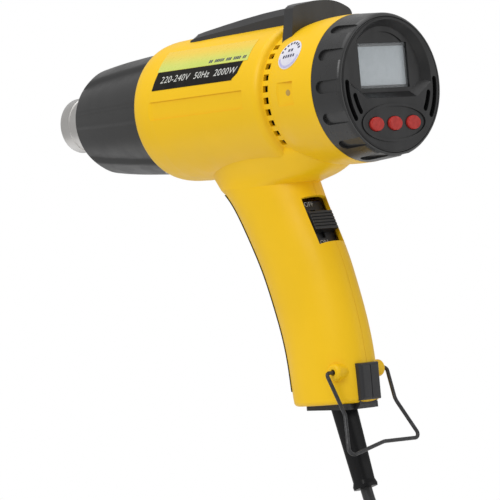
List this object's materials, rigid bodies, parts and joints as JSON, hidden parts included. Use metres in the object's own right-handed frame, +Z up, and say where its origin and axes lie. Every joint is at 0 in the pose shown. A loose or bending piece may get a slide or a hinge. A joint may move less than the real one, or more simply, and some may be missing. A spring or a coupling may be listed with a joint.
{
  "type": "heat gun",
  "caption": "Pistol-grip electric hot-air gun with a rear display and keys, slide switch, ribbed heat shield, steel nozzle, top rest, wire hanging loop and mains lead.",
  "frame": {"origin": "centre of the hand grip, on the plane where the two housing halves meet", "axes": "+X along the barrel towards the nozzle, +Y to the gun's left, +Z up"},
  "size_m": [0.363, 0.0956, 0.3612],
  "materials": {
    "yellow_plastic": "fine satin texture",
    "dark_plastic": "fine spark texture",
    "shield_plastic": "satin, glass filled",
    "rest_plastic": "satin",
    "grip_rubber": "soft matte",
    "cord_rubber": "semi-gloss",
    "red_button": "satin",
    "nozzle_steel": "brushed",
    "black_steel": "black oxide",
    "screw_steel": "zinc plated",
    "label_black": "gloss film",
    "label_lime": "gloss film",
    "sticker_white": "satin film",
    "lens_clear": "clear acrylic",
    "lcd_glass": "display surface",
    "pcb_green": "solder mask",
    "component_black": "moulded",
    "mica": "mica sheet",
    "ceramic_white": "unglazed",
    "heater_wire": "oxidised resistance wire",
    "motor_steel": "drawn can",
    "copper": "enamelled copper",
    "fan_plastic": "moulded nylon",
    "duct_plastic": "moulded, heat resistant",
    "plug_brass": "nickel plated",
    "wire_insulation": "insulation"
  },
  "bodies": {
    "housing": {"left_shell": "yellow_plastic", "right_shell": "yellow_plastic", "front_grip_strip": "grip_rubber", "housing_screws": "screw_steel", "recess_plugs": "component_black", "rating_label": "label_black", "title_label": "label_lime", "round_sticker": "sticker_white", "top_rest": "rest_plastic", "heat_shield": "shield_plastic", "shield_screw": "screw_steel", "nozzle_tube": "nozzle_steel", "mica_liner": "mica", "heater_core": "ceramic_white", "heating_coil": "heater_wire", "heater_disc": "mica", "outlet_baffle": "mica", "air_sensor": "screw_steel", "thermal_cutout": "ceramic_white", "fan_duct": "duct_plastic", "motor_can": "motor_steel", "rear_ring": "dark_plastic", "rear_panel": "dark_plastic", "display_lens": "lens_clear", "display_module": "lcd_glass", "control_board": "pcb_green", "board_components": "component_black", "button_board": "pcb_green", "tact_switches": "component_black", "switch_plate": "dark_plastic", "switch_body": "component_black", "power_board": "pcb_green", "power_components": "component_black", "foot_plate": "dark_plastic", "strain_relief": "cord_rubber", "cord_clamp": "component_black", "clamp_screws": "screw_steel", "mains_wires": "wire_insulation", "cord_lead": "cord_rubber", "cord_coil": "cord_rubber", "cord_tail": "cord_rubber", "plug_body": "cord_rubber", "plug_pins": "plug_brass"},
    "rotor": {"motor_rotor": "motor_steel", "rotor_windings": "copper", "fan_impeller": "fan_plastic"},
    "button_left": {"button_left": "red_button"},
    "button_middle": {"button_middle": "red_button"},
    "button_right": {"button_right": "red_button"},
    "switch_slider": {"switch_knob": "dark_plastic"},
    "bail": {"hanging_bail": "black_steel"}
  },
  "joints": [
    {"name": "rotor_spin", "type": "hinge", "parent": "housing", "child": "rotor", "pos_m": [0.02, 0, 0.112], "axis": [1, 0, 0], "continuous": true},
    {"name": "button_left_press", "type": "slide", "parent": "housing", "child": "button_left", "axis": [1, 0, 0], "range_m": [0, 0.001], "stiffness_N_per_m": 400, "springref_m": -0.0008},
    {"name": "button_middle_press", "type": "slide", "parent": "housing", "child": "button_middle", "axis": [1, 0, 0], "range_m": [0, 0.001], "stiffness_N_per_m": 400, "springref_m": -0.0008},
    {"name": "button_right_press", "type": "slide", "parent": "housing", "child": "button_right", "axis": [1, 0, 0], "range_m": [0, 0.001], "stiffness_N_per_m": 400, "springref_m": -0.0008},
    {"name": "switch_slide", "type": "slide", "parent": "housing", "child": "switch_slider", "axis": [-0.3949, 0, -0.9187], "range_m": [-0.006, 0.006]},
    {"name": "bail_swing", "type": "hinge", "parent": "housing", "child": "bail", "pos_m": [-0.0307, 0, -0.0516], "axis": [0, 1, 0], "range_deg": [-19, 150]}
  ]
}
